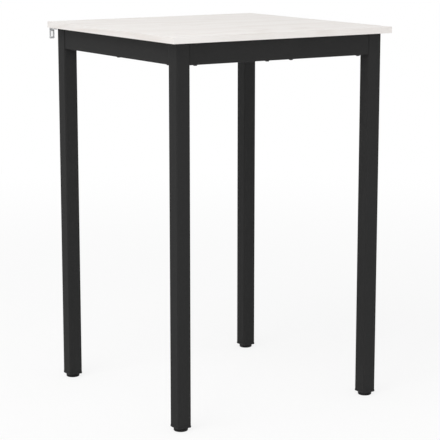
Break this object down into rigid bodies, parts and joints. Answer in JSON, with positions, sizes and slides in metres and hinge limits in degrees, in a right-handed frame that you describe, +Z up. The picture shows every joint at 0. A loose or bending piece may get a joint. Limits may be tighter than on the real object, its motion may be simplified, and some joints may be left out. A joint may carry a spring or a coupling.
{
  "type": "bar table",
  "caption": "Square bar table: board top with banded edges on a square-tube steel frame, its rails set 2 mm behind the leg faces, screw feet under the legs and a slotted corner bracket.",
  "frame": {"origin": "on the floor under the middle of the board", "axes": "+Z up; the front rail faces -Y; +X is to the right of someone facing the front"},
  "size_m": [0.6, 0.6, 0.9],
  "materials": {
    "board": "matt melamine, wood grain",
    "edge_band": "matt",
    "frame_paint": "fine-texture powder coat",
    "black_screw": "black oxide",
    "bare_steel": "bare",
    "zinc_steel": "zinc plated",
    "plug_plastic": "moulded, fine grain",
    "pad_plastic": "moulded"
  },
  "bodies": {
    "frame": {"table_top": "board", "front_edge_band": "edge_band", "right_edge_band": "edge_band", "back_edge_band": "edge_band", "left_edge_band": "edge_band", "front_left_leg": "frame_paint", "front_right_leg": "frame_paint", "back_left_leg": "frame_paint", "back_right_leg": "frame_paint", "front_rail": "frame_paint", "right_rail": "frame_paint", "back_rail": "frame_paint", "left_rail": "frame_paint", "front_rail_left_spigot": "bare_steel", "front_rail_right_spigot": "bare_steel", "right_rail_front_spigot": "bare_steel", "right_rail_back_spigot": "bare_steel", "back_rail_right_spigot": "bare_steel", "back_rail_left_spigot": "bare_steel", "left_rail_back_spigot": "bare_steel", "left_rail_front_spigot": "bare_steel", "frame_screws": "black_screw", "top_bolts": "black_screw", "frame_nuts": "bare_steel", "top_inserts": "zinc_steel", "foot_nuts": "zinc_steel", "bracket_screws": "zinc_steel", "corner_bracket": "zinc_steel", "front_left_foot_plug": "plug_plastic", "front_right_foot_plug": "plug_plastic", "back_left_foot_plug": "plug_plastic", "back_right_foot_plug": "plug_plastic"},
    "front_left_foot_pad": {"front_left_foot_pad": "pad_plastic"},
    "front_left_foot_stud": {"front_left_foot_stud": "zinc_steel"},
    "front_right_foot_pad": {"front_right_foot_pad": "pad_plastic"},
    "front_right_foot_stud": {"front_right_foot_stud": "zinc_steel"},
    "back_left_foot_pad": {"back_left_foot_pad": "pad_plastic"},
    "back_left_foot_stud": {"back_left_foot_stud": "zinc_steel"},
    "back_right_foot_pad": {"back_right_foot_pad": "pad_plastic"},
    "back_right_foot_stud": {"back_right_foot_stud": "zinc_steel"}
  },
  "joints": [
    {"name": "front_left_foot_height", "type": "slide", "parent": "frame", "child": "front_left_foot_pad", "axis": [0, 0, -1], "range_m": [0, 0.012]},
    {"name": "front_left_foot_turn", "type": "hinge", "parent": "front_left_foot_pad", "child": "front_left_foot_stud", "pos_m": [-0.2645, -0.2645, 0.01], "axis": [0, 0, -1], "range_deg": [0, 3450]},
    {"name": "front_right_foot_height", "type": "slide", "parent": "frame", "child": "front_right_foot_pad", "axis": [0, 0, -1], "range_m": [0, 0.012]},
    {"name": "front_right_foot_turn", "type": "hinge", "parent": "front_right_foot_pad", "child": "front_right_foot_stud", "pos_m": [0.2645, -0.2645, 0.01], "axis": [0, 0, -1], "range_deg": [0, 3450]},
    {"name": "back_left_foot_height", "type": "slide", "parent": "frame", "child": "back_left_foot_pad", "axis": [0, 0, -1], "range_m": [0, 0.012]},
    {"name": "back_left_foot_turn", "type": "hinge", "parent": "back_left_foot_pad", "child": "back_left_foot_stud", "pos_m": [-0.2645, 0.2645, 0.01], "axis": [0, 0, -1], "range_deg": [0, 3450]},
    {"name": "back_right_foot_height", "type": "slide", "parent": "frame", "child": "back_right_foot_pad", "axis": [0, 0, -1], "range_m": [0, 0.012]},
    {"name": "back_right_foot_turn", "type": "hinge", "parent": "back_right_foot_pad", "child": "back_right_foot_stud", "pos_m": [0.2645, 0.2645, 0.01], "axis": [0, 0, -1], "range_deg": [0, 3450]}
  ],
  "couplings": [
    {"joint": "front_left_foot_height", "follows": "front_left_foot_turn", "m_per_rad": 0.00019894},
    {"joint": "front_right_foot_height", "follows": "front_right_foot_turn", "m_per_rad": 0.00019894},
    {"joint": "back_left_foot_height", "follows": "back_left_foot_turn", "m_per_rad": 0.00019894},
    {"joint": "back_right_foot_height", "follows": "back_right_foot_turn", "m_per_rad": 0.00019894}
  ]
}
